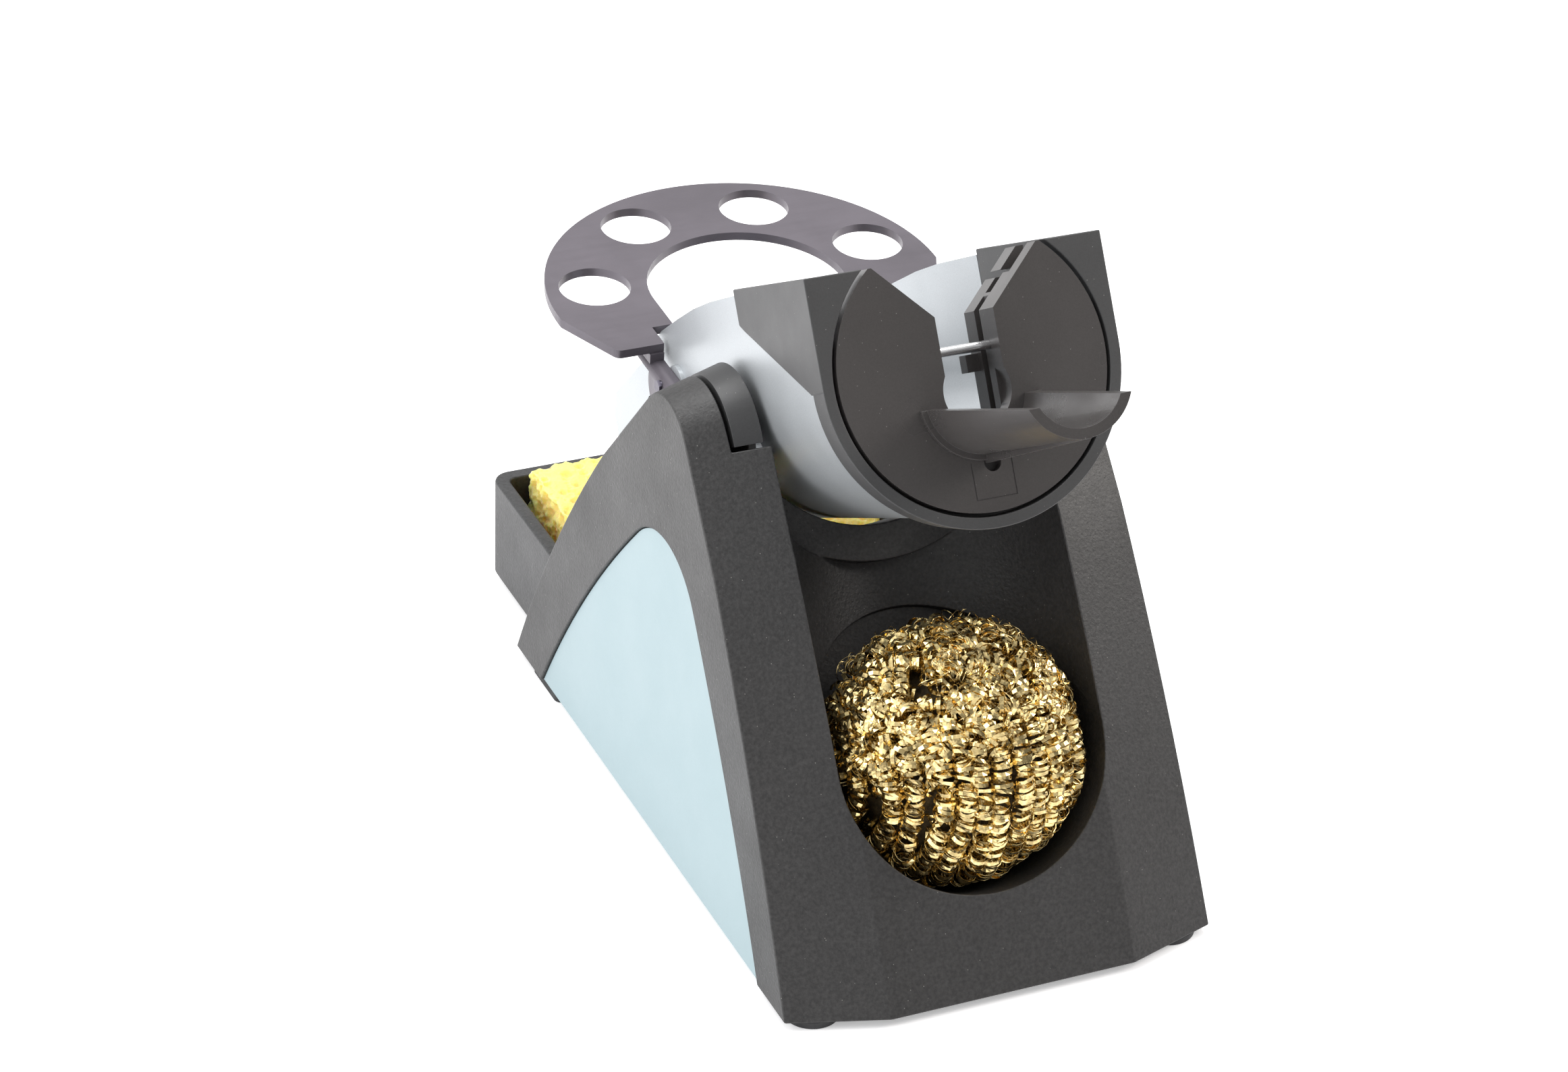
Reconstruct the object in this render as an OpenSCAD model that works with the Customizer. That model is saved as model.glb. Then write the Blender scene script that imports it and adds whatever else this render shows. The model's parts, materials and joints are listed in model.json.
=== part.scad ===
// Soldering iron rest: leaning two-legged stand with a tilting holder,
// a plate for spare tips, a brass wool well and a drawer with a wet sponge.
// Millimetres. Origin: bench surface under the middle of the whole rest.
// +X right, +Y to the back, +Z up. The front faces -Y.

/* [Stand] */
// width of the stand at the bench
base_w = 98; // [90:1:110]
// depth of the stand at the bench
base_d = 162; // [150:1:180]
// height of the rubber feet under the stand
foot_h = 2; // [1.5:0.5:4]
// lean of the front face and of the holder, degrees
lean = 31; // [25:1:36]
// radius of the trough and of the wool well
well_r = 30; // [28:0.5:31]
// depth of the wool well behind the front face
well_depth = 31; // [26:1:31.5]
// thickness of the coloured side panels
panel_t = 1.5; // [1:0.1:2]

/* [Holder] */
// outer radius of the mouth ring
mouth_r = 32.5; // [31:0.5:34]
// length of the holder shell along its axis
shell_len = 147.5; // [130:0.5:150]
// wall of the holder shell
shell_wall = 2; // [1.6:0.1:2.4]
// half width of the slot the iron drops into
slot_half = 6.4; // [5:0.1:7.5]
// radius of the round seat at the foot of the slot
seat_r = 7.4; // [6.5:0.1:9]
// length of the cradle in front of the mouth
cradle_len = 46; // [35:1:55]
// thickness of the steel pin across the slot
pin_d = 2; // [1.5:0.1:3]

/* [Tip plate] */
// outer radius of the plate for spare tips
plate_r = 45.2; // [42:0.1:50]
// diameter of each tip hole
tip_hole_d = 16; // [12:0.5:18]
// sheet thickness of the plate
plate_t = 2; // [1.5:0.1:3]

/* [Drawer] */
// width of the sponge drawer
tray_w = 84.6; // [78:0.2:85]
// depth of the sponge drawer
tray_d = 78; // [70:1:82]
// height of the drawer above its skids
tray_h = 25; // [20:1:27]
// width, depth and height of the sponge
sponge_size = [69, 62, 25];

/* [Hidden] */

$fn = 96;
big = 400;
drawer_back = 198;         // rear face of the drawer behind the stand's front edge
cradle_reach = 11.68;      // how far the cradle reaches ahead of that edge
yf = (cradle_reach - drawer_back) / 2;  // front edge of the stand at the bench
draft = 1.72;              // inward lean of the side faces, degrees
facet = 17.5;              // how far the outer front facets turn back
crease_x = 27.9;           // where the centre facet meets the side facets
well_v = 51;               // height of the well centre up the front face
axis_v = 128.4;            // height of the holder axis up the front face
mouth_s = 34.4;            // reach of the mouth ahead of the front face
crown = [83.4, 93.8];      // centre of the rounded arm top, from the front edge
crown_r = 12.8;            // its radius at the outer side face
crown_grow = 0.255;        // growth of that radius per mm inward
bore_r = 3.05;
pin_r = 3;
arm_in = 37.3;             // inner face of the arms
bear_in = 30.5;            // inner face of the bearing blocks
bear_out = 36.4;
r0 = 30.2;                 // holder shell radius at the mouth
taper = 0.04;              // and how much it narrows per mm
wing_taper = 0.0713;
wing_len = 47.7;
saddle_s = 25.6;           // front face of the saddle behind the front face
saddle_r = 29.2;           // inner and outer radius of the saddle
saddle_out = 37;
block_s = 37;              // rear face of the front wall
disc_r = 29.2;             // radius of the slotted disc
pivot_seat = 25.9;         // inner end of the pivot pins
seat_s = 4.2;              // depth of its seat in the mouth
wool_wall = 0.4;           // wall of the cup that stands for the loose wool
panel_depth = 2.2;
shoulder_v = 119.6;        // height of the shoulders under the bearings
floor_v = 108.7;           // height of the floor behind the shoulders

black = [0.13, 0.13, 0.14];
silver = [0.80, 0.82, 0.84];

function shell_r(s) = r0 - taper * s;
function wing_w(s) = mouth_r - wing_taper * s;
// centre of the circle of radius r through p and q, k = 1 left of p->q, -1 right
function arc_c(p, q, r, k) =
  let (m = (p + q) / 2, d = q - p, l = norm(d), h = sqrt(r * r - l * l / 4))
  [m[0] - k * d[1] / l * h, m[1] + k * d[0] / l * h];

// ---------- frames ----------
// x right, y into the front face along its normal, z up the face
module leaned() translate([0, yf, foot_h]) rotate([-lean, 0, 0]) children();
// origin at the centre of the mouth, y along the holder axis
module holder() leaned() translate([0, -mouth_s, axis_v]) children();
// 2-D (y, z) outline pushed along X from x0 to x1, y counted from the front edge
module along_x(x0, x1) translate([x0, yf, 0]) rotate([90, 0, 90])
  linear_extrude(x1 - x0) children();
// outer side face: x = 0 on the face, +x into the stand
module on_side(left = true) mirror([left ? 0 : 1, 0, 0])
  translate([-base_w / 2, yf, foot_h]) rotate([0, draft, 0]) children();
module both() { children(); mirror([1, 0, 0]) children(); }

// ---------- stand ----------
front_a = [0, foot_h];
front_b = [58.1, 92];
side_a = [0, foot_h];
side_b = [55.4, 92];
rear_a = [base_d + 0.4, foot_h];
rear_b = [93.9, 105];
shoulder_x = 46;            // side face near the arm top
slope_front = 49.4;         // slopes of the planes that run into the crown
slope_rear = 48;
shoulder_front = [54.8, 80.1];
shoulder_rear = [92.95, 102.4];

module front_disc() translate(arc_c(front_a, front_b, 593, -1)) circle(593, $fn = 400);
module side_front_disc() translate(arc_c(side_a, side_b, 607, -1)) circle(607, $fn = 400);
module rear_disc() translate(arc_c(rear_a, rear_b, 372, 1)) circle(372, $fn = 400);

// the faceted front, back = how far it is set back
module facet_front(back = 0) translate([0, back, 0]) intersection() {
  along_x(-80, 80) front_disc();
  translate([crease_x, yf, 0]) rotate([0, 0, facet]) translate([-crease_x, -yf, 0])
    along_x(-150, 150) side_front_disc();
  mirror([1, 0, 0]) translate([crease_x, yf, 0]) rotate([0, 0, facet])
    translate([-crease_x, -yf, 0]) along_x(-150, 150) side_front_disc();
}
module facet_rear(fwd = 0) translate([0, -fwd, 0]) intersection() {
  translate([arm_in, yf + 100, 0]) rotate([0, 0, -facet])
    translate([-arm_in, -yf - 100, 0]) along_x(-150, 150) rear_disc();
  mirror([1, 0, 0]) translate([arm_in, yf + 100, 0]) rotate([0, 0, -facet])
    translate([-arm_in, -yf - 100, 0]) along_x(-150, 150) rear_disc();
}
module tapered_sides(inset = 0) {
  k = tan(draft);
  w = base_w / 2 - inset;
  translate([0, big / 2, 0]) rotate([90, 0, 0]) linear_extrude(big)
    polygon([[-w, foot_h], [w, foot_h], [w - 140 * k, foot_h + 140], [-w + 140 * k, foot_h + 140]]);
}
module roof() translate([0, big / 2, 0]) rotate([90, 0, 0]) linear_extrude(big)
  polygon([[-60, -5], [60, -5], [60, 99.9], [0, 109.5], [-60, 99.9]]);
module crown_cone(x0, x1, grow = 0) translate([0, yf + crown[0], crown[1]]) rotate([0, 90, 0])
  translate([0, 0, x0]) cylinder(h = x1 - x0, r1 = crown_r + crown_grow * (46 - x0) + grow,
    r2 = crown_r + crown_grow * (46 - x1) + grow);

// everything beyond the plane through point p of the side face that touches the crown cone,
// on its front (dir = 1) or rear (dir = -1) side
module beyond(p, slope, dir) {
  n = [crown_grow / sin(slope), -dir, 1 / tan(slope)];
  translate([shoulder_x, yf + p[0], p[1]]) rotate(acos(n[2] / norm(n)), cross([0, 0, 1], n))
    translate([-big, -big, 0]) cube(2 * big);
}
module stand_outside() intersection() {
  tapered_sides();
  union() {
    difference() {
      intersection() { facet_front(); facet_rear(); roof(); }
      both() beyond(shoulder_front, slope_front, 1);
      both() beyond(shoulder_rear, slope_rear, -1);
    }
    both() crown_cone(30, 48);
  }
}
// where the circles of radius ra round a and rb round b meet, k picks the side
function meet(a, ra, b, rb, k) =
  let (d = b - a, l = norm(d), t = (ra * ra - rb * rb + l * l) / (2 * l), h = sqrt(ra * ra - t * t))
  a + d * t / l + k * h / l * [-d[1], d[0]];
panel_fr = 500;            // radii of the panel's front, rear and top edges
panel_rr = 330;
panel_tr = 21;
panel_f = arc_c([20.9, 0], [65.5, 66], panel_fr, -1);
panel_r = arc_c([146.2, 0], [98.5, 64], panel_rr, 1);
panel_top = meet(panel_f, panel_fr - panel_tr, panel_r, panel_rr - panel_tr, -1);
module side_panel_2d(gap = 0) {
  // two curved edges joined by a round top; (y, z - foot_h)
  tf = panel_f + (panel_top - panel_f) * panel_fr / (panel_fr - panel_tr);
  tr = panel_r + (panel_top - panel_r) * panel_rr / (panel_rr - panel_tr);
  intersection() {
    translate(panel_f) circle(panel_fr - gap, $fn = 400);
    translate(panel_r) circle(panel_rr - gap, $fn = 400);
    polygon([[0, gap], [200, gap], [200, tr[1]], tr, tf, [0, tf[1]]]);
  }
  translate(panel_top) circle(panel_tr - gap);
}
module side_slab(x0, x1) translate([x0, 0, 0]) rotate([90, 0, 90]) linear_extrude(x1 - x0) children();

// side outline of the free space between the arms, (depth, height up the face)
module between_arms_2d() polygon([[-60, shoulder_v], [15.4, shoulder_v], [21.6, floor_v],
  [block_s, floor_v], [block_s, -80], [300, -80], [300, 300], [-60, 300]]);

screw_xy = [[34, 23], [36, 38]];   // screws of the base cover

module stand_inside() {
  // trough and wool well
  leaned() translate([-well_r, -60, well_v]) cube([2 * well_r, 60, 200]);
  leaned() translate([0, -60, well_v]) rotate([-90, 0, 0]) cylinder(h = 60 + well_depth, r = well_r);
  leaned() translate([0, 0, well_v]) cylinder(h = 200, r = well_r);
  // saddle under the holder and the recess in front of it
  holder() translate([0, 40, 0]) rotate([-90, 0, 0]) cylinder(h = 120, r = saddle_r);
  holder() intersection() {
    translate([0, 44, 0]) rotate([-90, 0, 0]) cylinder(h = mouth_s + saddle_s - 44, r = saddle_out);
    translate([-29.8, 40, -60]) cube([59.6, 40, 80]);
  }
  // free space between the arms and for the drawer
  leaned() translate([-arm_in, 0, 0]) rotate([90, 0, 90]) linear_extrude(2 * arm_in) between_arms_2d();
  translate([-43.2, yf + 116, -5]) cube([86.4, 120, 36]);
  // pockets on the inner side of the legs
  intersection() {
    facet_front(5.5);
    facet_rear(5);
    leaned() translate([-42.3, block_s + 3.5, -200]) cube([84.6, 300, 500]);
    translate([-60, -big, 6]) cube([120, 2 * big, 66]);
  }
  // hollow under the front wall
  difference() {
    intersection() {
      facet_front(4.8);
      tapered_sides(4.5);
      leaned() translate([-60, -10, -60]) cube([120, 10 + block_s - 3, 138]);
      translate([-60, -big, foot_h - 1]) cube([120, 2 * big, 80]);
    }
    leaned() translate([0, -60, well_v]) rotate([-90, 0, 0]) cylinder(h = 120, r = well_r + 2.6);
    leaned() translate([0, 0, well_v]) cylinder(h = 200, r = well_r + 2.8);
    both() for (p = screw_xy) translate([p[0], yf + p[1], foot_h]) cylinder(h = 60, r = 4);
    both() translate([41, yf + 11, foot_h]) cylinder(h = 6, r = 7);
  }
  // seat of the cover plate, its screw holes
  translate([0, 0, foot_h - 1]) linear_extrude(1 + 1.3) cover_2d(0.3);
  both() for (p = screw_xy) translate([p[0], yf + p[1], foot_h]) cylinder(h = 9, r = 1.2);
  // side panel seats
  for (l = [true, false]) on_side(l) side_slab(-2, panel_depth) side_panel_2d();
}
module cover_2d(g = 0) difference() {
  translate([0, yf]) polygon([[-crease_x - 2 - g, 7.6 - g], [crease_x + 2 + g, 7.6 - g],
    [44 + g, 12.2 - g], [44 + g, 42.5 + g], [-44 - g, 42.5 + g], [-44 - g, 12.2 - g]]);
  both() translate([41, yf + 11]) circle(7.2 - g);
}

module stand() color(black) {
  difference() {
    stand_outside();
    stand_inside();
  }
  // proud half ring of the saddle
  holder() difference() {
    intersection() {
      translate([0, mouth_s + saddle_s, 0]) rotate([-90, 0, 0])
        cylinder(h = block_s - saddle_s - 1, r = saddle_out);
      translate([-25, 0, -60]) cube([50, 120, 38]);
    }
    translate([0, 40, 0]) rotate([-90, 0, 0]) cylinder(h = 120, r = saddle_r);
  }
}

// ---------- stand fittings ----------
module panel(l) color([0.62, 0.80, 0.86]) on_side(l)
  side_slab(panel_depth - panel_t, panel_depth) side_panel_2d(0.25);
module side_panel_left() panel(true);
module side_panel_right() panel(false);

module base_cover() color([0.6, 0.6, 0.62]) translate([0, 0, foot_h + 0.1]) difference() {
  linear_extrude(1.2) cover_2d();
  both() for (p = screw_xy) translate([p[0], yf + p[1], -1]) cylinder(h = 4, r = 1.6);
}
module cover_screw(sx, i) color([0.7, 0.7, 0.72]) translate([sx * screw_xy[i][0], yf + screw_xy[i][1], 0]) {
  difference() {
    translate([0, 0, foot_h - 1.1]) cylinder(h = 1.2, r = 2.8);
    translate([-0.35, -4, foot_h - 1.2]) cube([0.7, 8, 0.6]);
  }
  translate([0, 0, foot_h]) cylinder(h = 8.5, r = 1.15);
}
module cover_screw_fl() cover_screw(-1, 0);
module cover_screw_fr() cover_screw(1, 0);
module cover_screw_bl() cover_screw(-1, 1);
module cover_screw_br() cover_screw(1, 1);

module front_foot(sx) color([0.08, 0.08, 0.08]) translate([sx * 41, yf + 11, 0])
  cylinder(h = foot_h, r1 = 6, r2 = 6.4);
module rear_foot(sx) color([0.08, 0.08, 0.08]) translate([sx * 46, yf + 146, 0]) {
  translate([-2.1, -6, 0]) cube([4.2, 12, foot_h]);
  for (y = [-6, 6]) translate([0, y, 0]) cylinder(h = foot_h, r = 2.1);
}
module foot_fl() front_foot(-1);
module foot_fr() front_foot(1);
module foot_bl() rear_foot(-1);
module foot_br() rear_foot(1);

// ---------- bearings ----------
module bearing_2d() polygon([[40, 118.6], [74.9, 97.7], [75.8, 97.1], [75.8, 85.2],
  [150, 85.2], [150, 160], [40, 160]]);
module bearing(m) color([0.10, 0.10, 0.11]) mirror([m, 0, 0]) difference() {
  union() {
    intersection() {
      crown_cone(bear_in, bear_out);
      along_x(bear_in, bear_out) bearing_2d();
    }
    // boss that meets the arm
    translate([bear_out - 1, yf + crown[0], crown[1]]) rotate([0, 90, 0])
      cylinder(h = arm_in - bear_out + 1, r = 8);
  }
  translate([0, yf + crown[0], crown[1]]) rotate([0, 90, 0]) cylinder(h = 60, r = bore_r);
}
module bearing_left() bearing(1);
module bearing_right() bearing(0);

module pivot_pin(m) color([0.75, 0.76, 0.78]) mirror([m, 0, 0])
  translate([pivot_seat, yf + crown[0], crown[1]]) rotate([0, 90, 0])
    cylinder(h = bear_out + 0.1 - pivot_seat, r = pin_r);
module pivot_pin_left() pivot_pin(1);
module pivot_pin_right() pivot_pin(0);

module friction_washer(m) color([0.55, 0.5, 0.4]) mirror([m, 0, 0])
  translate([bear_in - 2.1, yf + crown[0], crown[1]]) rotate([0, 90, 0]) difference() {
    cylinder(h = 2.1, r = 7);
    translate([0, 0, -1]) cylinder(h = 4, r = bore_r + 0.05);
  }
module friction_washer_left() friction_washer(1);
module friction_washer_right() friction_washer(0);

// ---------- holder shell ----------
module u_solid(s0, s1, a0, a1, top) {
  // round below the axis, straight sides above it, narrowing to the back
  intersection() {
    translate([0, s0, 0]) rotate([-90, 0, 0]) cylinder(h = s1 - s0, r1 = a0, r2 = a1);
    translate([-60, s0 - 1, -60]) cube([120, s1 - s0 + 2, 60]);
  }
  linear_extrude(top) polygon([[-a0, s0], [a0, s0], [a1, s1], [-a1, s1]]);
}
module shell_side_2d() {
  // side view of the shell, (s, v)
  difference() {
    polygon([[7.05, -40], [shell_len, -40], [shell_len, 4], [143.5, 8.5], [112, 15.4],
      [107.6, 17.9], [102.5, 19.3], [90, 21], [78, 22.3], [66, 22.9], [wing_len + 0.05, 22.9],
      [wing_len + 0.05, 16.5], [45, 15.2], [7.05, -0.6]]);
    translate([shell_len, -40]) difference() {
      translate([-8, 0]) square([9, 20]);
      translate([-8, 20]) circle(8);
    }
  }
}
module holder_shell() color(silver) {
  difference() {
    union() {
      holder() intersection() {
        u_solid(7.05, shell_len, shell_r(7.05), shell_r(shell_len), 40);
        translate([-60, 0, 0]) rotate([90, 0, 90]) linear_extrude(120) shell_side_2d();
      }
      // bosses around the pivot pins
      both() translate([pivot_seat, yf + crown[0], crown[1]]) rotate([0, 90, 0]) cylinder(h = 2.4, r = 6);
      // side bosses under the tip brackets
      both() intersection() {
        translate([25, bracket_pin[0], bracket_pin[1]]) rotate([0, 90, 0]) cylinder(h = 4.1, r = 4);
        translate([0, yf + 100, 60]) cube([29.1, 40, 60]);
      }
    }
    holder() u_solid(0, shell_len - shell_wall, shell_r(0) - shell_wall,
      shell_r(shell_len - shell_wall) - shell_wall, 41);
    both() translate([pivot_seat, yf + crown[0], crown[1]]) rotate([0, 90, 0])
      cylinder(h = 20, r = pin_r + 0.02);
    both() translate([26, bracket_pin[0], bracket_pin[1]]) rotate([0, 90, 0]) cylinder(h = 8, r = 1.25);
    // seats of the bracket strips
    both() on_plate() translate([27.4, -46, strip_z - 2.1]) cube([6, 36, 12]);
  }
}

module mouth_housing() color(black) holder() difference() {
  union() {
    // ring and front plate
    intersection() {
      u_solid(0, 7, mouth_r, wing_w(7), 22.5);
      translate([-60, -1, -60]) cube([120, 9, 120]);
    }
    // side wings
    intersection() {
      linear_extrude(40) polygon([[-mouth_r, 0], [mouth_r, 0],
        [wing_w(wing_len), wing_len], [-wing_w(wing_len), wing_len]]);
      translate([-60, 0, 0]) rotate([90, 0, 90]) linear_extrude(120)
        polygon([[1, 0], [7.05, -0.6], [45, 15.2], [wing_len, 16.5], [wing_len, 24.1], [0, 22.5], [0, 0]]);
    }
  }
  // bore behind the seat, open at the top
  u_solid(seat_s, 60, shell_r(seat_s) - shell_wall, shell_r(60) - shell_wall, 41);
  // round seat of the slotted disc
  translate([0, -1, 0]) rotate([-90, 0, 0]) cylinder(h = 1 + seat_s, r = disc_r + 0.8);
}

// ---------- tip plate ----------
plate_o = [0, 147.4, 94.5];
plate_tilt = 3.7;
module on_plate() translate([0, yf + plate_o[1], plate_o[2]]) rotate([plate_tilt, 0, 0]) children();
module plate_2d() difference() {
  circle(plate_r, $fn = 180);
  circle(22.5);
  translate([-22.5, -11]) square([45, 11]);
  translate([-27.4, -60]) square([54.8, 49]);
  translate([-60, -78]) square([120, 60]);
  both() {
    translate([45.15, -2.16]) rotate(-113.8) square([40, 30]);
    // rounded front corner
    difference() {
      polygon([[36.97, -18.5], [36.97, -16.2], [38.6, -16.91], [45, -16.91], [45, -18.5]]);
      translate([36.97, -16.2]) circle(1.8);
    }
  }
  for (a = [15, 65, 115, 165]) rotate(a) translate([34.25, 0]) circle(d = tip_hole_d);
}
module tip_plate() color([0.22, 0.2, 0.23]) on_plate() translate([0, 0, -plate_t])
  linear_extrude(plate_t) plate_2d();

strip_z = -3.8;            // top of the bracket strip below the plate's top
bracket_pin = [yf + 122.6, 86.9];
module bracket_l_2d() {
  // L section with a rounded bend, x outward, z down from the strip top
  difference() {
    union() {
      translate([27.5, -2]) square([1.3, 2]);
      translate([28.8, -2.4]) intersection() { circle(2.4); square(2.4); }
      translate([29.2, -8]) square([2, 5.6]);
    }
    translate([20, -9]) square([9.2, 7]);
  }
}
module tip_bracket(m) color([0.2, 0.19, 0.21]) mirror([m, 0, 0]) difference() {
  on_plate() {
    intersection() {
      translate([0, -12.6, strip_z]) rotate([90, 0, 0]) linear_extrude(28.4) bracket_l_2d();
      // rounded rear end of the flange
      translate([20, 0, 0]) rotate([90, 0, 90]) linear_extrude(20) {
        translate([-26, strip_z - 3]) circle(7);
        translate([-45, strip_z - 10]) square([19, 14]);
        translate([-26, strip_z - 2]) square([16, 4]);
      }
    }
    // spacer under the plate
    translate([27.5, -18.6, strip_z - 0.5]) cube([3.3, 6, -plate_t - strip_z + 0.5]);
  }
  translate([20, bracket_pin[0], bracket_pin[1]]) rotate([0, 90, 0]) cylinder(h = 20, r = 1.25);
}
module tip_bracket_left() tip_bracket(1);
module tip_bracket_right() tip_bracket(0);
module bracket_pin(m) color([0.3, 0.3, 0.32]) mirror([m, 0, 0])
  translate([0, bracket_pin[0], bracket_pin[1]]) rotate([0, 90, 0]) {
    translate([0, 0, 31.2]) cylinder(h = 0.6, r = 1.6, $fn = 6);
    translate([0, 0, 27]) cylinder(h = 4.3, r = 1.2);
  }
module bracket_pin_left() bracket_pin(1);
module bracket_pin_right() bracket_pin(0);

// ---------- slotted disc, cradle ----------
seat_v = -4.8;             // centre of the round seat in the slot
slot_floor = -10.4;        // floor of the slot behind the front plate
// slot that is straight from height v0 up and opens at the top
module slot_2d(v0) {
  translate([-slot_half, v0]) square([2 * slot_half, 60]);
  polygon([[-slot_half, 10.8], [slot_half, 10.8], [slot_half + 30, 40.8], [-slot_half - 30, 40.8]]);
}
module disc_face(h) rotate([90, 0, 0]) mirror([0, 0, 1]) linear_extrude(h) children();
module slot_disc() color(black) holder() difference() {
  union() {
    disc_face(4) intersection() { circle(disc_r); translate([-40, -40]) square([80, 62.4]); }
    translate([0, 4, 0]) disc_face(3) intersection() {
      circle(26); translate([-13, -16]) square([26, 34]);
    }
  }
  translate([0, -1, 0]) disc_face(5.2) { slot_2d(seat_v); translate([0, seat_v]) circle(seat_r); }
  translate([0, 4, 0]) disc_face(8) slot_2d(slot_floor);
  // blind hole and shallow outline of the release tab
  translate([0.5, -1, -19.4]) rotate([-90, 0, 0]) cylinder(h = 3, r = 1.8);
  for (x = [-4.3, 4.5]) translate([x, -1, -26.5]) cube([0.25, 1.15, 7.5]);
  translate([-4.3, -1, -26.5]) cube([8.8, 1.15, 0.25]);
  // bore of the steel pin
  translate([-14, 5.2, 3.7]) rotate([0, 90, 0]) cylinder(h = 28, r = pin_d / 2 + 0.02);
}
module slot_backing() color(black) holder() {
  difference() {
    union() {
      translate([0, 9.5, 0]) disc_face(5) difference() {
        translate([-19.6, -13]) square([39.2, 35.3]);
        translate([-17, 16.7]) square([34, 1.4]);
      }
      translate([0, 7, 0]) disc_face(2.6) difference() {
        translate([-13, -13]) square([26, 27]);
        translate([-9, -14]) square([18, 50]);
      }
    }
    translate([0, 6, 0]) disc_face(12) slot_2d(slot_floor);
  }
  // catch in the right side of the slot
  translate([slot_half - 2.8, 11.2, -1.2]) cube([3.4, 3.2, 3.6]);
}

module rest_pin() color([0.85, 0.85, 0.86]) holder()
  translate([-12, 5.2, 3.7]) rotate([0, 90, 0]) cylinder(h = 24, r = pin_d / 2);

module iron_cradle() color(black) holder() difference() {
  union() {
    translate([0, -cradle_len, -5.5]) rotate([-90, 0, 0])
      cylinder(h = cradle_len, r1 = 11.7, r2 = 12.1);
    // collar at its root
    translate([0, -1.2, -5.5]) rotate([-90, 0, 0]) cylinder(h = 1.2, r = 13.3);
    // rib under the cradle
    translate([-1.1, -cradle_len, -60]) cube([2.2, cradle_len, 50]);
  }
  translate([0, -cradle_len - 1, -5.5]) rotate([-90, 0, 0])
    cylinder(h = cradle_len + 2, r1 = 9.6, r2 = 10);
  // open top, sloping down to the front
  translate([-60, 0, 0]) rotate([90, 0, 90]) linear_extrude(120)
    polygon([[1, -6.9], [-cradle_len - 1, -9.95], [-cradle_len - 1, 30], [1, 30]]);
  // lower edge of the rib
  translate([-60, 0, 0]) rotate([90, 0, 90]) linear_extrude(120)
    polygon([[1, -19.4], [-cradle_len + 1, -17.3], [-cradle_len - 1, -17.25],
      [-cradle_len - 1, -70], [1, -70]]);
}

// ---------- drawer, sponge, wool ----------
module rounded_box(w, d, h, r) {
  linear_extrude(h) {
    translate([-w / 2 + r, -d / 2]) square([w - 2 * r, d]);
    translate([-w / 2, -d / 2 + r]) square([w, d - 2 * r]);
    for (x = [-1, 1], y = [-1, 1]) translate([x * (w / 2 - r), y * (d / 2 - r)]) circle(r);
  }
}
tray_y = yf + drawer_back - tray_d / 2;
tray_wall = 3.4;
module sponge_drawer() color(black) translate([0, tray_y, foot_h]) {
  difference() {
    rounded_box(tray_w, tray_d, tray_h, 4.5);
    translate([0, 0, 2.4]) rounded_box(tray_w - 2 * tray_wall, tray_d - 2 * tray_wall, 40, 2);
  }
  for (x = [-38.5, 35.5]) translate([x, -tray_d / 2 + 6, -foot_h]) cube([3, tray_d - 12, foot_h + 0.5]);
}
module sponge() color([0.96, 0.86, 0.35])
  translate([-sponge_size[0] / 2, yf + drawer_back - tray_wall - 0.3 - sponge_size[1], foot_h + 2.5]) cube(sponge_size);
module brass_wool() color([0.80, 0.65, 0.30]) leaned() translate([0, 13, well_v])
  rotate([-90, 0, 0]) rotate_extrude() intersection() {
    difference() { circle(well_r - 0.6); circle(well_r - 0.6 - wool_wall); }
    translate([0, -40]) square([40, 40 + well_depth - 13.5]);
  }

stand();
side_panel_left();
side_panel_right();
base_cover();
cover_screw_fl();
cover_screw_fr();
cover_screw_bl();
cover_screw_br();
foot_fl();
foot_fr();
foot_bl();
foot_br();
bearing_left();
bearing_right();
pivot_pin_left();
pivot_pin_right();
friction_washer_left();
friction_washer_right();
holder_shell();
mouth_housing();
tip_bracket_left();
tip_bracket_right();
bracket_pin_left();
bracket_pin_right();
tip_plate();
slot_disc();
slot_backing();
rest_pin();
iron_cradle();
sponge_drawer();
sponge();
brass_wool();
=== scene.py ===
"""Soldering iron rest: the looks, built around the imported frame."""

import json
import math

import bmesh
import bpy
import numpy as np
from mathutils import Matrix, Vector
from mathutils.kdtree import KDTree


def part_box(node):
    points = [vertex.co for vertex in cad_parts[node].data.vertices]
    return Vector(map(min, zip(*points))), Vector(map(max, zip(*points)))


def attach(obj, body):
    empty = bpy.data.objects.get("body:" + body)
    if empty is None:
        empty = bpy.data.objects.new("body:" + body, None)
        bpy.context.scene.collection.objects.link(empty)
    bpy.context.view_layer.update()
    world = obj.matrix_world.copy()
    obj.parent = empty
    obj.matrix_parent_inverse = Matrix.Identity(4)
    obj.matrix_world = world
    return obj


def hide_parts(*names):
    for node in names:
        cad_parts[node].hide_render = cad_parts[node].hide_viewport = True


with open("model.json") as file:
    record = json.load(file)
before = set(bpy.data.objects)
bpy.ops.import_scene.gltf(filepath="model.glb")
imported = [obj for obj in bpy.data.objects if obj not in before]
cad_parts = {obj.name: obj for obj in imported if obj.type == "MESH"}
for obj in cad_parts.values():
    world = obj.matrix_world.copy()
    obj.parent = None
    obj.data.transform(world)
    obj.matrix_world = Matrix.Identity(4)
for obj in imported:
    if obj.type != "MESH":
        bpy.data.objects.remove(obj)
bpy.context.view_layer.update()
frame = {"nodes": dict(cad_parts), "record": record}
MM = 0.001
LEAN = math.radians(31)          # lean of the stand's front face
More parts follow.
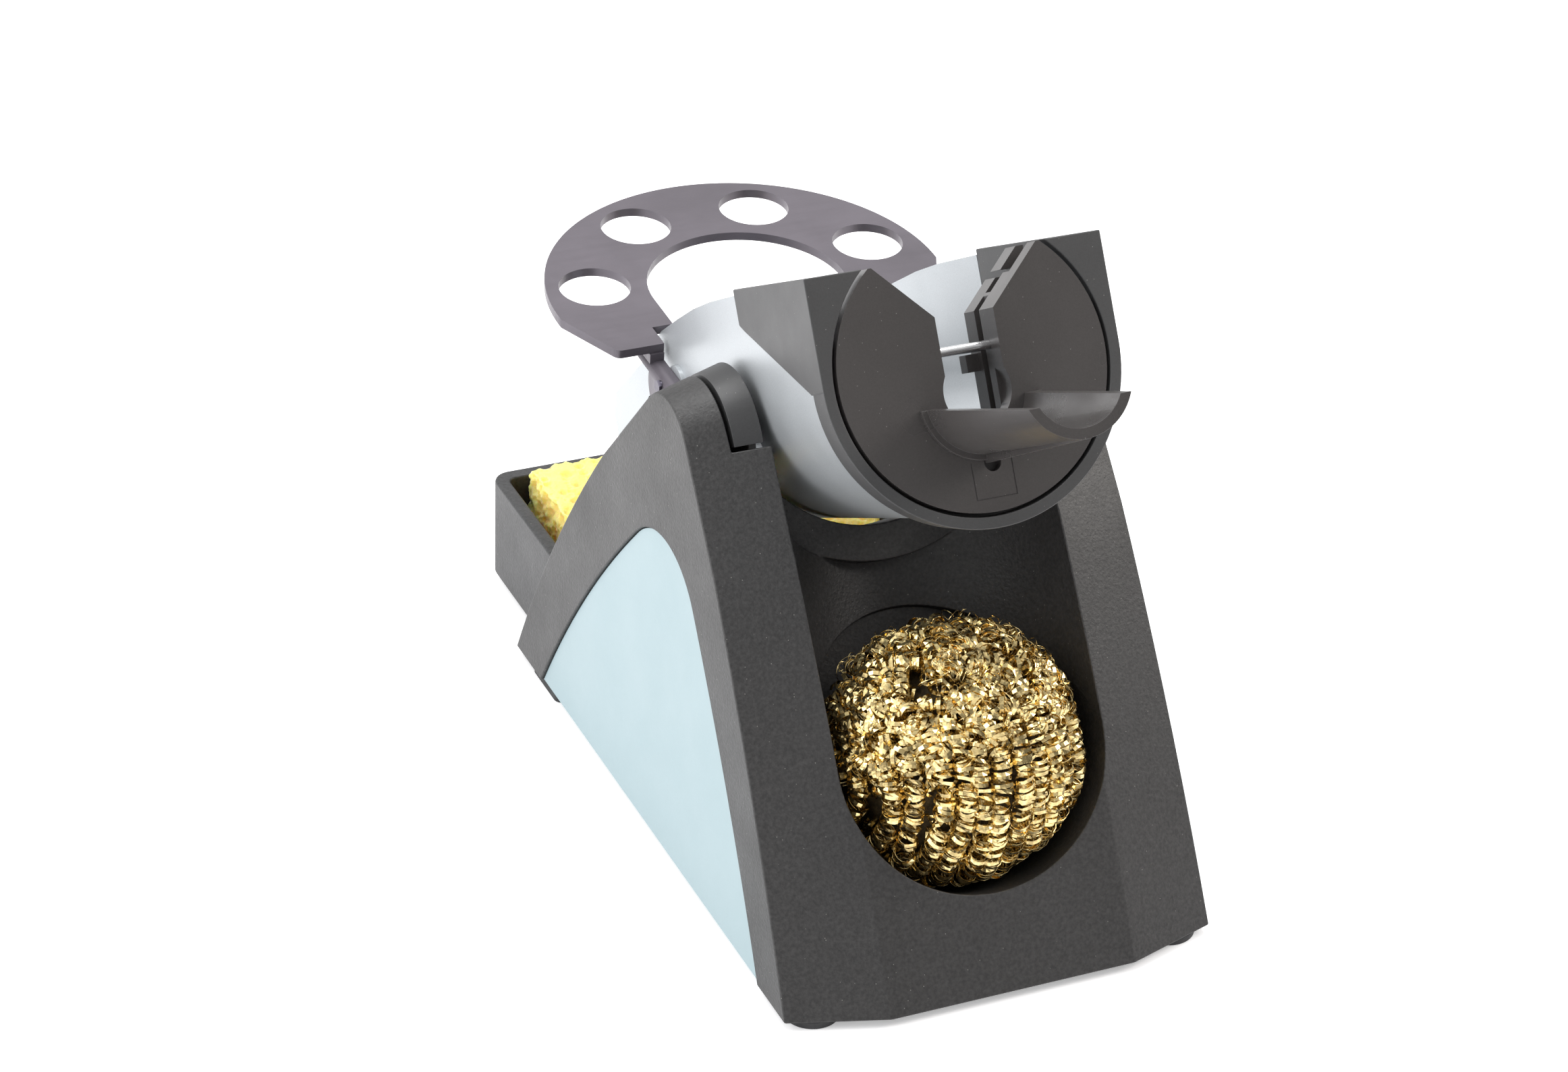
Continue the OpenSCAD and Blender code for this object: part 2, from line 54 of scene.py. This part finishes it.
# width of the rounded edges in mm, where it isn't EDGE
EDGE = 0.2
EDGES = {"stand": 0.35, "bearing_left": 0.6, "bearing_right": 0.6, "sponge_drawer": 0.6,
         "iron_cradle": 0.35, "slot_disc": 0.35, "mouth_housing": 0.3, "holder_shell": 0.3}
SHARP = 35                       # smallest angle that counts as an edge, in degrees
CREASE = 9                       # the same for the shallow creases of the stand's front
HEADING, DIP, ROLL = 24.70, 30.43, 2.33          # of the camera, in degrees
CAMERA_AT = (-0.3521, -0.7357, 0.5379)
LENS, SENSOR = 100.43, 36        # in mm
WOOL_SEED, CORE_SEED, SPONGE_SEED = 11, 5, 3


# ---------------------------------------------------------------- camera and stage
def add_camera():
    """The main view: place, heading, dip and roll of a long lens."""
    azimuth, dip, roll = (math.radians(a) for a in (HEADING, DIP, ROLL))
    ahead = Vector((math.sin(azimuth) * math.cos(dip), math.cos(azimuth) * math.cos(dip),
                    -math.sin(dip)))
    side = ahead.cross(Vector((0, 0, 1))).normalized()
    top = side.cross(ahead)
    right = side * math.cos(roll) + top * math.sin(roll)
    up = top * math.cos(roll) - side * math.sin(roll)
    camera = bpy.data.objects.new("camera", bpy.data.cameras.new("camera"))
    bpy.context.scene.collection.objects.link(camera)
    turn = Matrix((right, up, -ahead)).transposed().to_4x4()
    camera.matrix_world = Matrix.Translation(CAMERA_AT) @ turn
    camera.data.sensor_width = SENSOR
    camera.data.lens = LENS
    camera.data.clip_start, camera.data.clip_end = 0.05, 20
    bpy.context.scene.camera = camera


def add_area(name, place, target, size, watts, color=(1, 1, 1)):
    """A soft rectangular light at place that looks at target."""
    data = bpy.data.lights.new(name, "AREA")
    data.shape, data.size, data.size_y = "RECTANGLE", size[0], size[1]
    data.energy, data.color = watts, color
    light = bpy.data.objects.new(name, data)
    light.location = place
    light.rotation_mode = "QUATERNION"
    light.rotation_quaternion = (Vector(target) - Vector(place)).to_track_quat("-Z", "Y")
    bpy.context.scene.collection.objects.link(light)


def make_room(toward, dark, bright):
    """A pale room whose walls glow from dark to bright toward one direction."""
    world = bpy.data.worlds.new("studio")
    world.use_nodes = True
    tree = world.node_tree
    where = tree.nodes.new("ShaderNodeTexCoord")
    facing = tree.nodes.new("ShaderNodeVectorMath")
    facing.operation = "DOT_PRODUCT"
    facing.inputs[1].default_value = toward
    glow = tree.nodes.new("ShaderNodeMapRange")
    glow.interpolation_type = "SMOOTHSTEP"
    for key, value in (("From Min", -0.75), ("From Max", 0.85), ("To Min", dark), ("To Max", bright)):
        glow.inputs[key].default_value = value
    tree.links.new(where.outputs["Generated"], facing.inputs[0])
    tree.links.new(facing.outputs["Value"], glow.inputs["Value"])
    back = tree.nodes["Background"]
    back.inputs["Color"].default_value = (1, 1, 1, 1)
    tree.links.new(glow.outputs["Result"], back.inputs["Strength"])
    return world


def add_stage():
    """White paper under the part, a room that is brighter at the back left, three soft lights."""
    scene = bpy.context.scene
    scene.view_settings.view_transform = "Standard"
    scene.world = make_room(toward=(-0.62, 0.45, 0.64), dark=0.13, bright=1.12)
    bpy.ops.mesh.primitive_plane_add(size=8, location=(0, 0, 0))
    floor = bpy.context.object
    floor.name = "floor"
    paper = Shader("paper", (0.9, 0.9, 0.91), 0.9)
    paper.main.inputs["Emission Color"].default_value = (1, 1, 1, 1)
    paper.main.inputs["Emission Strength"].default_value = 0.35
    floor.data.materials.append(paper.material)
    middle = (0, 0, 0.06)
    add_area("softbox_left", (-0.9, 0.15, 0.55), middle, size=(0.8, 0.8), watts=6.5)
    add_area("softbox_top", (0.1, 0.35, 1.1), middle, size=(0.9, 0.7), watts=8)
    add_area("softbox_right", (0.85, -0.35, 0.7), middle, size=(0.4, 0.5), watts=6,
             color=(1, 0.95, 0.9))


# ---------------------------------------------------------------- node materials
class Shader:
    """A Principled material and short helpers for its node tree."""

    def __init__(self, name, color, roughness, metallic=0.0):
        self.material = bpy.data.materials.new(name)
        self.material.use_nodes = True
        self.tree = self.material.node_tree
        self.main = self.tree.nodes["Principled BSDF"]
        self.main.inputs["Base Color"].default_value = (*color, 1)
        self.main.inputs["Roughness"].default_value = roughness
        self.main.inputs["Metallic"].default_value = metallic
        self.color = color
        self.place = self.node("ShaderNodeTexCoord").outputs["Object"]
        self.height = None

    def node(self, kind, **settings):
        made = self.tree.nodes.new(kind)
        for key, value in settings.items():
            setattr(made, key, value)
        return made

    def link(self, a, b):
        self.tree.links.new(a, b)

    def noise(self, scale, detail=2.0, rough=0.5, stretch=None):
        """Noise of about scale lumps a metre, 0..1, and scale times stretch along X, Y and Z."""
        made = self.node("ShaderNodeTexNoise")
        made.inputs["Scale"].default_value = scale
        made.inputs["Detail"].default_value = detail
        made.inputs["Roughness"].default_value = rough
        source = self.place
        if stretch:
            mapping = self.node("ShaderNodeMapping")
            mapping.inputs["Scale"].default_value = stretch
            self.link(source, mapping.inputs["Vector"])
            source = mapping.outputs["Vector"]
        self.link(source, made.inputs["Vector"])
        return made.outputs["Fac"]

    def cells(self, scale):
        """Distance to the nearest of scattered points, about scale of them a metre."""
        made = self.node("ShaderNodeTexVoronoi", feature="F1")
        made.inputs["Scale"].default_value = scale
        self.link(self.place, made.inputs["Vector"])
        return made.outputs["Distance"]

    def ramp(self, source, stops):
        """Colour along stops, which are pairs of a value of source and a colour."""
        made = self.node("ShaderNodeValToRGB")
        band = made.color_ramp
        while len(band.elements) < len(stops):
            band.elements.new(0.5)
        for element, (at, color) in zip(band.elements, stops):
            element.position = at
            element.color = (*color, 1)
        self.link(source, made.inputs["Fac"])
        return made.outputs["Color"]

    def span(self, source, low, high, a=0.3, b=0.7):
        """source from a..b mapped to low..high."""
        made = self.node("ShaderNodeMapRange")
        for key, value in (("From Min", a), ("From Max", b), ("To Min", low), ("To Max", high)):
            made.inputs[key].default_value = value
        self.link(source, made.inputs["Value"])
        return made.outputs["Result"]

    def vary_color(self, source, darker, lighter, a=0.3, b=0.7):
        """Base colour times darker..lighter as source goes from a to b."""
        low = tuple(c * darker for c in self.color)
        high = tuple(min(1, c * lighter) for c in self.color)
        self.link(self.ramp(source, [(a, low), (b, high)]), self.main.inputs["Base Color"])

    def vary_rough(self, source, low, high, a=0.3, b=0.7):
        """Roughness low..high as source goes from a to b."""
        self.link(self.span(source, low, high, a, b), self.main.inputs["Roughness"])

    def dust(self, amount):
        """Sparse pale specks, a tenth of a millimetre across, over the base colour."""
        speck = self.span(self.cells(520), amount, 0, 0.035, 0.06)
        mix = self.node("ShaderNodeMix", data_type="RGBA")
        base = self.main.inputs["Base Color"]
        self.link(speck, mix.inputs["Factor"])
        self.link(base.links[0].from_socket, mix.inputs["A"])
        mix.inputs["B"].default_value = (0.6, 0.58, 0.54, 1)
        self.link(mix.outputs["Result"], base)

    def bump(self, source, depth):
        """Adds one layer of relief, depth in metres."""
        made = self.node("ShaderNodeBump")
        made.inputs["Distance"].default_value = depth
        made.inputs["Strength"].default_value = 1.0
        self.link(source, made.inputs["Height"])
        if self.height:
            self.link(self.height, made.inputs["Normal"])
        self.height = made.outputs["Normal"]
        self.link(self.height, self.main.inputs["Normal"])


def moulded(name, color, roughness, grain, depth, worn=1.35, specks=0.35):
    """Moulded plastic: spark-eroded grain of a size in metres, cloudy gloss, pale specks of dust."""
    m = Shader(name, color, roughness)
    m.vary_color(m.noise(0.6 / grain, 3, 0.65), 2 - worn, worn, 0.35, 0.7)
    m.vary_rough(m.noise(45, 4, 0.65), roughness - 0.05, roughness + 0.07)
    m.bump(m.noise(1 / grain, 2, 0.55), depth)
    m.bump(m.cells(0.5 / grain), depth * 0.6)
    m.dust(specks)
    return m


def smooth_plastic(name, color, roughness):
    """Smooth moulded plastic: a very fine grain, faint clouds of gloss, a little dust."""
    m = Shader(name, color, roughness)
    m.vary_color(m.noise(2400, 3, 0.6), 0.93, 1.08)
    m.vary_rough(m.noise(60, 3, 0.6), roughness - 0.04, roughness + 0.05)
    m.bump(m.noise(3200, 2, 0.5), 0.000012)
    m.dust(0.25)
    return m


def sheet_metal(name, color, roughness, metallic, grain):
    """Coated or bare sheet: rolled grain along X and soft colour clouds."""
    m = Shader(name, color, roughness, metallic)
    m.vary_color(m.noise(28, 4, 0.65), 0.86, 1.16)
    m.vary_rough(m.noise(240, 3, 0.6, (0.25, 2.5, 1)), roughness - 0.06, roughness + 0.08)
    m.bump(m.noise(1 / grain, 3, 0.6), 0.000012)
    return m


def silver_paint():
    """Fine metallic paint: flakes, a soft sheen and a few clouds."""
    m = Shader("shell_silver", (0.46, 0.485, 0.505), 0.40, 0.6)
    m.vary_color(m.noise(5200, 2, 0.6), 0.9, 1.08)
    m.vary_rough(m.noise(50, 3, 0.6), 0.36, 0.44)
    m.bump(m.noise(2600, 2, 0.6), 0.000014)
    m.dust(0.3)
    return m


def rubber():
    """Matt black rubber, a little dusty."""
    m = Shader("foot_rubber", (0.02, 0.02, 0.021), 0.75)
    m.vary_color(m.noise(400, 3, 0.6), 0.8, 1.5)
    m.vary_rough(m.noise(150, 3, 0.6), 0.68, 0.84)
    m.bump(m.noise(1500, 3, 0.6), 0.00004)
    return m


def steel(name="screw_steel", color=(0.78, 0.78, 0.79), roughness=0.2, metallic=1.0):
    """Turned or plated steel with fine marks."""
    m = Shader(name, color, roughness, metallic)
    m.vary_color(m.noise(500, 3, 0.6), 0.92, 1.05)
    m.vary_rough(m.noise(900, 3, 0.7, (4, 1, 1)), roughness - 0.05, roughness + 0.08)
    m.bump(m.noise(2500, 2, 0.5, (5, 1, 1)), 0.000002)
    return m


def brass():
    """Bright brass ribbon, darker in patches."""
    m = Shader("wool_brass", (0.93, 0.71, 0.33), 0.2, 1.0)
    m.vary_color(m.noise(260, 3, 0.7), 0.45, 1.1, 0.38, 0.58)
    m.vary_rough(m.noise(700, 3, 0.6), 0.10, 0.30)
    m.bump(m.noise(3000, 2, 0.5), 0.000006)
    return m


def painted_shade_brass():
    """Painted shade: very dark brass for the pad's core, standing in for the shade deep between the
    curls.
    """
    m = Shader("wool_core_painted_shade", (0.06, 0.042, 0.018), 0.7, 0.5)
    m.vary_color(m.noise(500, 3, 0.6), 0.4, 1.8)
    m.vary_rough(m.noise(700, 3, 0.6), 0.55, 0.85)
    m.bump(m.noise(900, 4, 0.7), 0.0006)
    return m


def cellulose():
    """Fine-pored yellow sponge: paler skin, deeper yellow in the pores."""
    m = Shader("sponge_yellow", (0.97, 0.74, 0.22), 0.8)
    m.main.inputs["Subsurface Weight"].default_value = 0.8
    m.main.inputs["Subsurface Radius"].default_value = (0.009, 0.0045, 0.0011)
    m.main.inputs["Subsurface Scale"].default_value = 1.0
    m.vary_color(m.noise(260, 4, 0.7), 0.86, 1.07, 0.35, 0.6)
    m.vary_rough(m.noise(300, 3, 0.6), 0.7, 0.9)
    m.bump(m.cells(1500), 0.00010)
    m.bump(m.noise(3600, 3, 0.6), 0.00004)
    return m


def make_materials():
    """One material for each slot, and one of painted shade for the wool's dark core."""
    return {
        "stand_plastic": moulded("stand_plastic", (0.030, 0.029, 0.029), 0.47, 0.00045, 0.00006),
        "drawer_plastic": moulded("drawer_plastic", (0.032, 0.032, 0.033), 0.47, 0.0004, 0.00005),
        "panel_blue": moulded("panel_blue", (0.27, 0.355, 0.38), 0.42, 0.0003, 0.000006, 1.015, 0.08),
        "bearing_plastic": smooth_plastic("bearing_plastic", (0.030, 0.030, 0.031), 0.40),
        "washer_plastic": smooth_plastic("washer_plastic", (0.05, 0.05, 0.05), 0.5),
        "mouth_plastic": smooth_plastic("mouth_plastic", (0.042, 0.042, 0.043), 0.45),
        "insert_plastic": smooth_plastic("insert_plastic", (0.050, 0.046, 0.045), 0.30),
        "plate_steel": sheet_metal("plate_steel", (0.115, 0.103, 0.120), 0.38, 0.4, 0.0005),
        "cover_sheet": sheet_metal("cover_sheet", (0.5, 0.5, 0.52), 0.4, 0.9, 0.0006),
        "shell_silver": silver_paint(),
        "foot_rubber": rubber(),
        "screw_steel": steel(),
        "screw_dark": steel("screw_dark", (0.11, 0.10, 0.13), 0.32, 0.7),
        "sponge_yellow": cellulose(),
        "wool_brass": brass(),
        # painted shade: dark brass for the wool's core, darkening the gaps between the curls
        "wool_core_painted_shade": painted_shade_brass(),
    }


# ---------------------------------------------------------------- mesh helpers
def new_piece(name, points, quads, material, body, smooth=True):
    """A mesh piece from points in metres and four-corner faces."""
    data = bpy.data.meshes.new(name)
    data.from_pydata([tuple(p) for p in points], [], [tuple(int(i) for i in q) for q in quads])
    data.polygons.foreach_set("use_smooth", [smooth] * len(data.polygons))
    data.validate()
    piece = bpy.data.objects.new(name, data)
    bpy.context.scene.collection.objects.link(piece)
    data.materials.append(material.material)
    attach(piece, body)
    return piece


def dress_cad_nodes(shaders):
    """Every CAD node takes its slot's material and lightly rounded edges."""
    slots = {row["node"]: row["material_slot"] for row in frame["record"]["subparts"]}
    for name, node in frame["nodes"].items():
        node.data.materials.clear()
        node.data.materials.append(shaders[slots[name]].material)
        creased = name == "stand"
        round_edges(node, EDGES.get(name, EDGE) * MM, not creased, CREASE if creased else SHARP)


def round_edges(node, radius, clamp, least):
    """Whole flat faces, with a small radius along the edges of at least this angle."""
    weld = node.modifiers.new("weld", "WELD")
    weld.merge_threshold = 0.00001
    flat = node.modifiers.new("flat", "DECIMATE")
    flat.decimate_type = "DISSOLVE"
    flat.angle_limit = math.radians(0.5)
    bevel = node.modifiers.new("round", "BEVEL")
    bevel.width = radius
    bevel.segments = 2
    bevel.limit_method = "ANGLE"
    bevel.angle_limit = math.radians(least)
    bevel.use_clamp_overlap = clamp
    shade = node.modifiers.new("shade", "WEIGHTED_NORMAL")
    shade.mode = "FACE_AREA_WITH_ANGLE"
    shade.weight = 80
    shade.keep_sharp = False


# ---------------------------------------------------------------- brass wool
def waves(t, count, low, high, rng):
    """A smooth random curve through t, about -1..1."""
    total = np.zeros_like(t)
    for _ in range(count):
        total += np.sin(t * rng.uniform(low, high) + rng.uniform(0, 2 * math.pi))
    return total / math.sqrt(count)


def sample(curve, lengths, at):
    """Points of curve at the distances at, where lengths are its own."""
    return np.stack([np.interp(at, lengths, curve[:, k]) for k in range(3)], 1)


def unit(vectors):
    """Each row at length 1."""
    return vectors / np.linalg.norm(vectors, axis=1)[:, None]


def ribbon_coil(path, normal, rng, radius, pitch, width, lean, thick=0.07 * MM, steps=14):
    """A flat ribbon wound round path, as points and quads. path and normal are arrays of points.

    radius and pitch are the coil's, lean tips its turns along the path, steps are those of a turn.
    """
    lengths = np.r_[0, np.cumsum(np.linalg.norm(np.diff(path, axis=0), axis=1))]
    count = int(lengths[-1] / pitch) * steps
    at = np.linspace(0, lengths[-1], count)
    at = np.clip(at + 1.1 * pitch * waves(at / pitch, 3, 0.4, 1.6, rng), 0, lengths[-1])
    centre = sample(path, lengths, at)
    out = sample(normal, lengths, at)
    ahead = unit(sample(np.gradient(path, axis=0), lengths, at))
    out = unit(out - (out * ahead).sum(1)[:, None] * ahead)
    side = np.cross(ahead, out)
    turn = np.arange(count) / steps
    angle = 2 * math.pi * turn * rng.choice((-1, 1)) + 0.8 * waves(turn, 3, 0.3, 1.5, rng)
    r = radius * (1 + 0.16 * waves(turn, 4, 0.5, 4.0, rng))
    radial = np.cos(angle)[:, None] * out + np.sin(angle)[:, None] * side
    tip = lean * waves(turn, 3, 0.3, 2.4, rng)
    middle = centre + radial * r[:, None] + ahead * (r * tip * np.cos(angle + 0.6))[:, None]
    run = unit(np.gradient(middle, axis=0))
    across = np.cross(radial, run)
    twist = 0.5 * waves(turn * 2 * math.pi, 4, 0.2, 1.4, rng)
    flat = np.cos(twist)[:, None] * across + np.sin(twist)[:, None] * radial
    lift = np.cross(run, flat)
    w = flat * width / 2
    h = lift * thick / 2
    points = np.stack([middle - w - h, middle + w - h, middle + w + h, middle - w + h], 1)
    points = points.reshape(-1, 3)
    i = np.arange(count - 1)[:, None] * 4
    k = np.arange(4)
    quads = np.stack([i + k, i + (k + 1) % 4, i + 4 + (k + 1) % 4, i + 4 + k], 2).reshape(-1, 4)
    ends = np.array([[3, 2, 1, 0], [0, 1, 2, 3]]) + np.array([[0], [4 * (count - 1)]])
    return points, np.r_[quads, ends]


def join_parts(parts):
    """Several (points, quads) as one."""
    points, quads, base = [], [], 0
    for p, q in parts:
        points.append(p)
        quads.append(q + base)
        base += len(p)
    return np.concatenate(points), np.concatenate(quads)


def wool_frame():
    """Centre and radius of the wool's ball, and its axes: right, out of the well, up the face."""
    low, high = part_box("brass_wool")
    radius = (high.x - low.x) / 2
    centre = np.array([(low.x + high.x) / 2, low.y + radius, high.z - radius])
    right = np.array([1.0, 0, 0])
    out = np.array([0, -math.cos(LEAN), math.sin(LEAN)])
    up = np.array([0, math.sin(LEAN), math.cos(LEAN)])
    return centre, radius, right, out, up


def wool_column(x, reach, start, stop, rng):
    """A line up the ball at distance x from its middle, between two angles from its foot."""
    centre, _, right, out, up = wool_frame()
    theta = np.linspace(start, stop, 200)
    ring = math.sqrt(max(reach * reach - x * x, 9 * MM * MM))
    ring = ring + 0.5 * MM * waves(theta, 3, 1.0, 7.0, rng)
    aside = x + 0.7 * MM * waves(theta, 3, 1.0, 6.0, rng)
    away = (aside[:, None] * right + (ring * np.sin(theta))[:, None] * out
            - (ring * np.cos(theta))[:, None] * up)
    return centre + away, unit(away)


def wool_curl(reach, length, rng, low, high):
    """A short wandering line over the ball, at a height from low to high of its radius."""
    centre, _, right, out, up = wool_frame()
    height = rng.uniform(low, high)
    turn = rng.uniform(-1.75, 1.75)
    flat = math.sqrt(1 - height * height)
    middle = flat * math.sin(turn) * right + flat * math.cos(turn) * out + height * up
    heading = rng.normal(size=3)
    heading -= heading @ middle * middle
    heading /= np.linalg.norm(heading)
    across = np.cross(middle, heading)
    t = np.linspace(-0.5, 0.5, 60)
    arc = t * length / reach
    drift = 0.09 * waves(t * 6, 3, 0.6, 2.0, rng)
    away = np.cos(arc)[:, None] * middle + np.sin(arc)[:, None] * heading + drift[:, None] * across
    away *= reach / np.linalg.norm(away, axis=1)[:, None]
    return centre + away, away / reach


def wool_parts(radius, rng):
    """The pad's coils, as a list of points and quads."""
    parts = []
    # columns side by side, from the well's edge up to the tangle
    for x in np.arange(-25.2, 25.3, 4.2) * MM:
        reach = radius - rng.uniform(2.4, 3.0) * MM
        line, normal = wool_column(x + rng.uniform(-0.3, 0.3) * MM, reach, -0.3 * math.pi,
                                   rng.uniform(0.52, 0.68) * math.pi, rng)
        parts.append(ribbon_coil(line, normal, rng, radius=2.05 * MM, pitch=1.0 * MM,
                                 width=0.80 * MM, lean=0.4))
    # a tangle of short curls over the upper half
    for _ in range(95):
        reach = radius - rng.uniform(2.3, 4.2) * MM
        line, normal = wool_curl(reach, rng.uniform(8, 20) * MM, rng, low=0.02, high=0.97)
        size = rng.uniform(1.5, 2.2) * MM
        parts.append(ribbon_coil(line, normal, rng, radius=size, pitch=1.1 * MM,
                                 width=0.84 * MM, lean=0.55))
    # a layer beneath, all round
    for _ in range(70):
        line, normal = wool_curl(radius - 5.6 * MM, rng.uniform(10, 20) * MM, rng, low=-0.97, high=0.97)
        parts.append(ribbon_coil(line, normal, rng, radius=2.0 * MM, pitch=1.3 * MM,
                                 width=0.7 * MM, lean=0.6, steps=12))
    # fine loose strands over the top
    for _ in range(26):
        line, normal = wool_curl(radius - 2.2 * MM, rng.uniform(6, 14) * MM, rng, low=0.3, high=0.98)
        size = rng.uniform(1.2, 2.2) * MM
        parts.append(ribbon_coil(line, normal, rng, radius=size, pitch=3.0 * MM,
                                 width=0.14 * MM, lean=0.9, thick=0.1 * MM, steps=16))
    return parts


def build_wool(shaders):
    """Curled brass ribbon that fills the ball's front and stays inside it."""
    centre, radius, _, out, _ = wool_frame()
    points, quads = join_parts(wool_parts(radius, np.random.default_rng(WOOL_SEED)))
    away = points - centre
    far = np.linalg.norm(away, axis=1)
    limit = radius - 0.1 * MM
    points = np.where((far > limit)[:, None], centre + away * (limit / far)[:, None], points)
    # flattened against the bottom of the well
    flat_back = -17 * MM
    depth = (points - centre) @ out
    back = depth < flat_back
    points[back] += (flat_back - depth[back])[:, None] * out
    wool = new_piece("brass_wool_curls", points, quads, shaders["wool_brass"], "wool_pad",
                     smooth=False)
    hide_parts("brass_wool")
    # the dark core under the curls is painted shade
    build_wool_core(shaders)


def build_wool_core(shaders):
    """A dark ball of painted shade inside the pad, which stops light between the curls."""
    centre, radius, right, out, up = wool_frame()
    under, flat_back = 6.2 * MM, -13 * MM
    rows, columns = 60, 90
    a = np.linspace(0.02, math.pi - 0.02, rows)[:, None]
    b = np.linspace(0, 2 * math.pi, columns, endpoint=False)[None, :]
    rng = np.random.default_rng(CORE_SEED)
    rough = sum(np.sin(a * rng.uniform(6, 30) + rng.uniform(0, 6)) * np.sin(b * rng.integers(5, 25))
                for _ in range(8))
    r = radius - under + 0.25 * MM * rough
    x = r * np.sin(a) * np.cos(b)
    z = r * np.sin(a) * np.sin(b)
    y = np.maximum(r * np.cos(a) * np.ones_like(b), flat_back)
    points = centre + x[..., None] * right + y[..., None] * out + z[..., None] * up
    i, j = np.meshgrid(np.arange(rows - 1), np.arange(columns), indexing="ij")
    n = (j + 1) % columns
    quads = np.stack([i * columns + j, i * columns + n, (i + 1) * columns + n, (i + 1) * columns + j],
                     -1)
    # the core wears the painted-shade material, dark where shade falls between the curls
    core = new_piece("brass_wool_core", points.reshape(-1, 3), quads.reshape(-1, 4),
                     shaders["wool_core_painted_shade"], "wool_pad")
    close_holes(core)


def close_holes(piece):
    """Caps the open rings at both ends of a grid."""
    work = bmesh.new()
    work.from_mesh(piece.data)
    bmesh.ops.holes_fill(work, edges=[e for e in work.edges if e.is_boundary])
    bmesh.ops.recalc_face_normals(work, faces=work.faces)
    work.to_mesh(piece.data)
    work.free()


# ---------------------------------------------------------------- sponge
def box_grid(low, high, step):
    """A closed box of small quads with shared corners, as points and quads."""
    counts = [max(2, int(round((high[k] - low[k]) / step))) for k in range(3)]
    index, points, quads = {}, [], []

    def corner(key):
        if key not in index:
            index[key] = len(points)
            points.append([low[k] + (high[k] - low[k]) * key[k] / counts[k] for k in range(3)])
        return index[key]

    for axis in range(3):
        u, v = [k for k in range(3) if k != axis]
        for end in (0, counts[axis]):
            for i in range(counts[u]):
                for j in range(counts[v]):
                    keys = []
                    for du, dv in ((0, 0), (1, 0), (1, 1), (0, 1)):
                        key = [0, 0, 0]
                        key[axis], key[u], key[v] = end, i + du, j + dv
                        keys.append(corner(tuple(key)))
                    quads.append(keys if (end > 0) ^ (axis == 1) else keys[::-1])
    return np.array(points), quads


# pores: how many, smallest and largest radius in mm, depth as a share of the radius
PORES = ((5000, 0.35, 0.6, 0.8), (2000, 0.8, 1.3, 0.85), (420, 1.5, 2.4, 0.7))
DEEPEST = 1.4 * MM
SKIN = 0.15 * MM                 # how far the faces lie inside the block, and how far they wave


def pore_depths(points, low, high):
    """How deep each point sinks into the pores scattered over the block's faces."""
    rng = np.random.default_rng(SPONGE_SEED)
    sink = np.zeros(len(points))
    for count, small, large, depth in PORES:
        seeds = low + rng.random((count, 3)) * (high - low)
        axis = rng.integers(0, 3, count)
        end = rng.integers(0, 2, count)
        seeds[np.arange(count), axis] = np.where(end, high[axis], low[axis])
        size = rng.uniform(small, large, count) * MM
        tree = KDTree(count)
        for k, seed in enumerate(seeds):
            tree.insert(seed, k)
        tree.balance()
        for k, p in enumerate(points):
            _, nearest, distance = tree.find(p)
            reach = distance / size[nearest]
            if reach < 1:
                sink[k] = max(sink[k], depth * size[nearest] * (1 - reach * reach))
    return np.minimum(sink, DEEPEST)


def build_sponge(shaders):
    """Porous cellulose: a block with small round edges, pitted all over."""
    low, high = (np.array(p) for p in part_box("sponge"))
    step = 0.36 * MM
    points, quads = box_grid(low, high, step)
    middle, half = (low + high) / 2, (high - low) / 2
    corner = 1.0 * MM
    inner = np.clip(points - middle, -(half - corner), half - corner)
    away = points - middle - inner
    far = np.linalg.norm(away, axis=1)
    normal = away / np.maximum(far, 1e-9)[:, None]
    points = middle + inner + normal * corner
    sink = pore_depths(points, low, high)
    across, along = np.array([210, 130, 90.0]), np.array([-90, 170, 240.0])
    wave = SKIN * np.sin(points @ across) * np.sin(points @ along)
    points = points - normal * (sink + SKIN + wave)[:, None]
    sponge = new_piece("sponge_cellulose", points, quads, shaders["sponge_yellow"], "sponge_pad")
    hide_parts("sponge")


# ---------------------------------------------------------------- build
add_camera()
add_stage()
materials = make_materials()
dress_cad_nodes(materials)
build_wool(materials)
build_sponge(materials)
